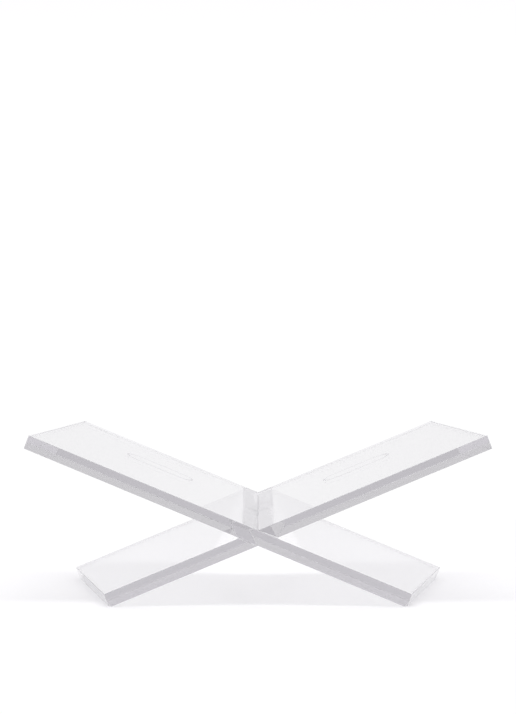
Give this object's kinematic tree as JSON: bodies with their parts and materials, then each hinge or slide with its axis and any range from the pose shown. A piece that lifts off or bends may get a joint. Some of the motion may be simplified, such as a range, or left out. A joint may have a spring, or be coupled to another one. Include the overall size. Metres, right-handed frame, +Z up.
{
  "type": "magazine rack",
  "caption": "X-shaped tabletop magazine rack of clear acrylic boards slotted together, with a shallow V to hold an open magazine.",
  "frame": {"origin": "on the floor, at the middle of the rack's outline", "axes": "+X to the right across the V, +Y to the rear along the crossing, +Z up"},
  "size_m": [0.4902, 0.3332, 0.172],
  "materials": {
    "clear_acrylic": "clear cast acrylic, flame-polished edges"
  },
  "bodies": {
    "rear_slotted": {"rear_slotted_board": "clear_acrylic"},
    "front_slotted": {"front_slotted_board": "clear_acrylic"}
  },
  "joints": [
    {"name": "slots_slide_apart", "type": "slide", "parent": "rear_slotted", "child": "front_slotted", "axis": [0, 0.9979, 0.0646], "range_m": [0, 0.14]}
  ]
}
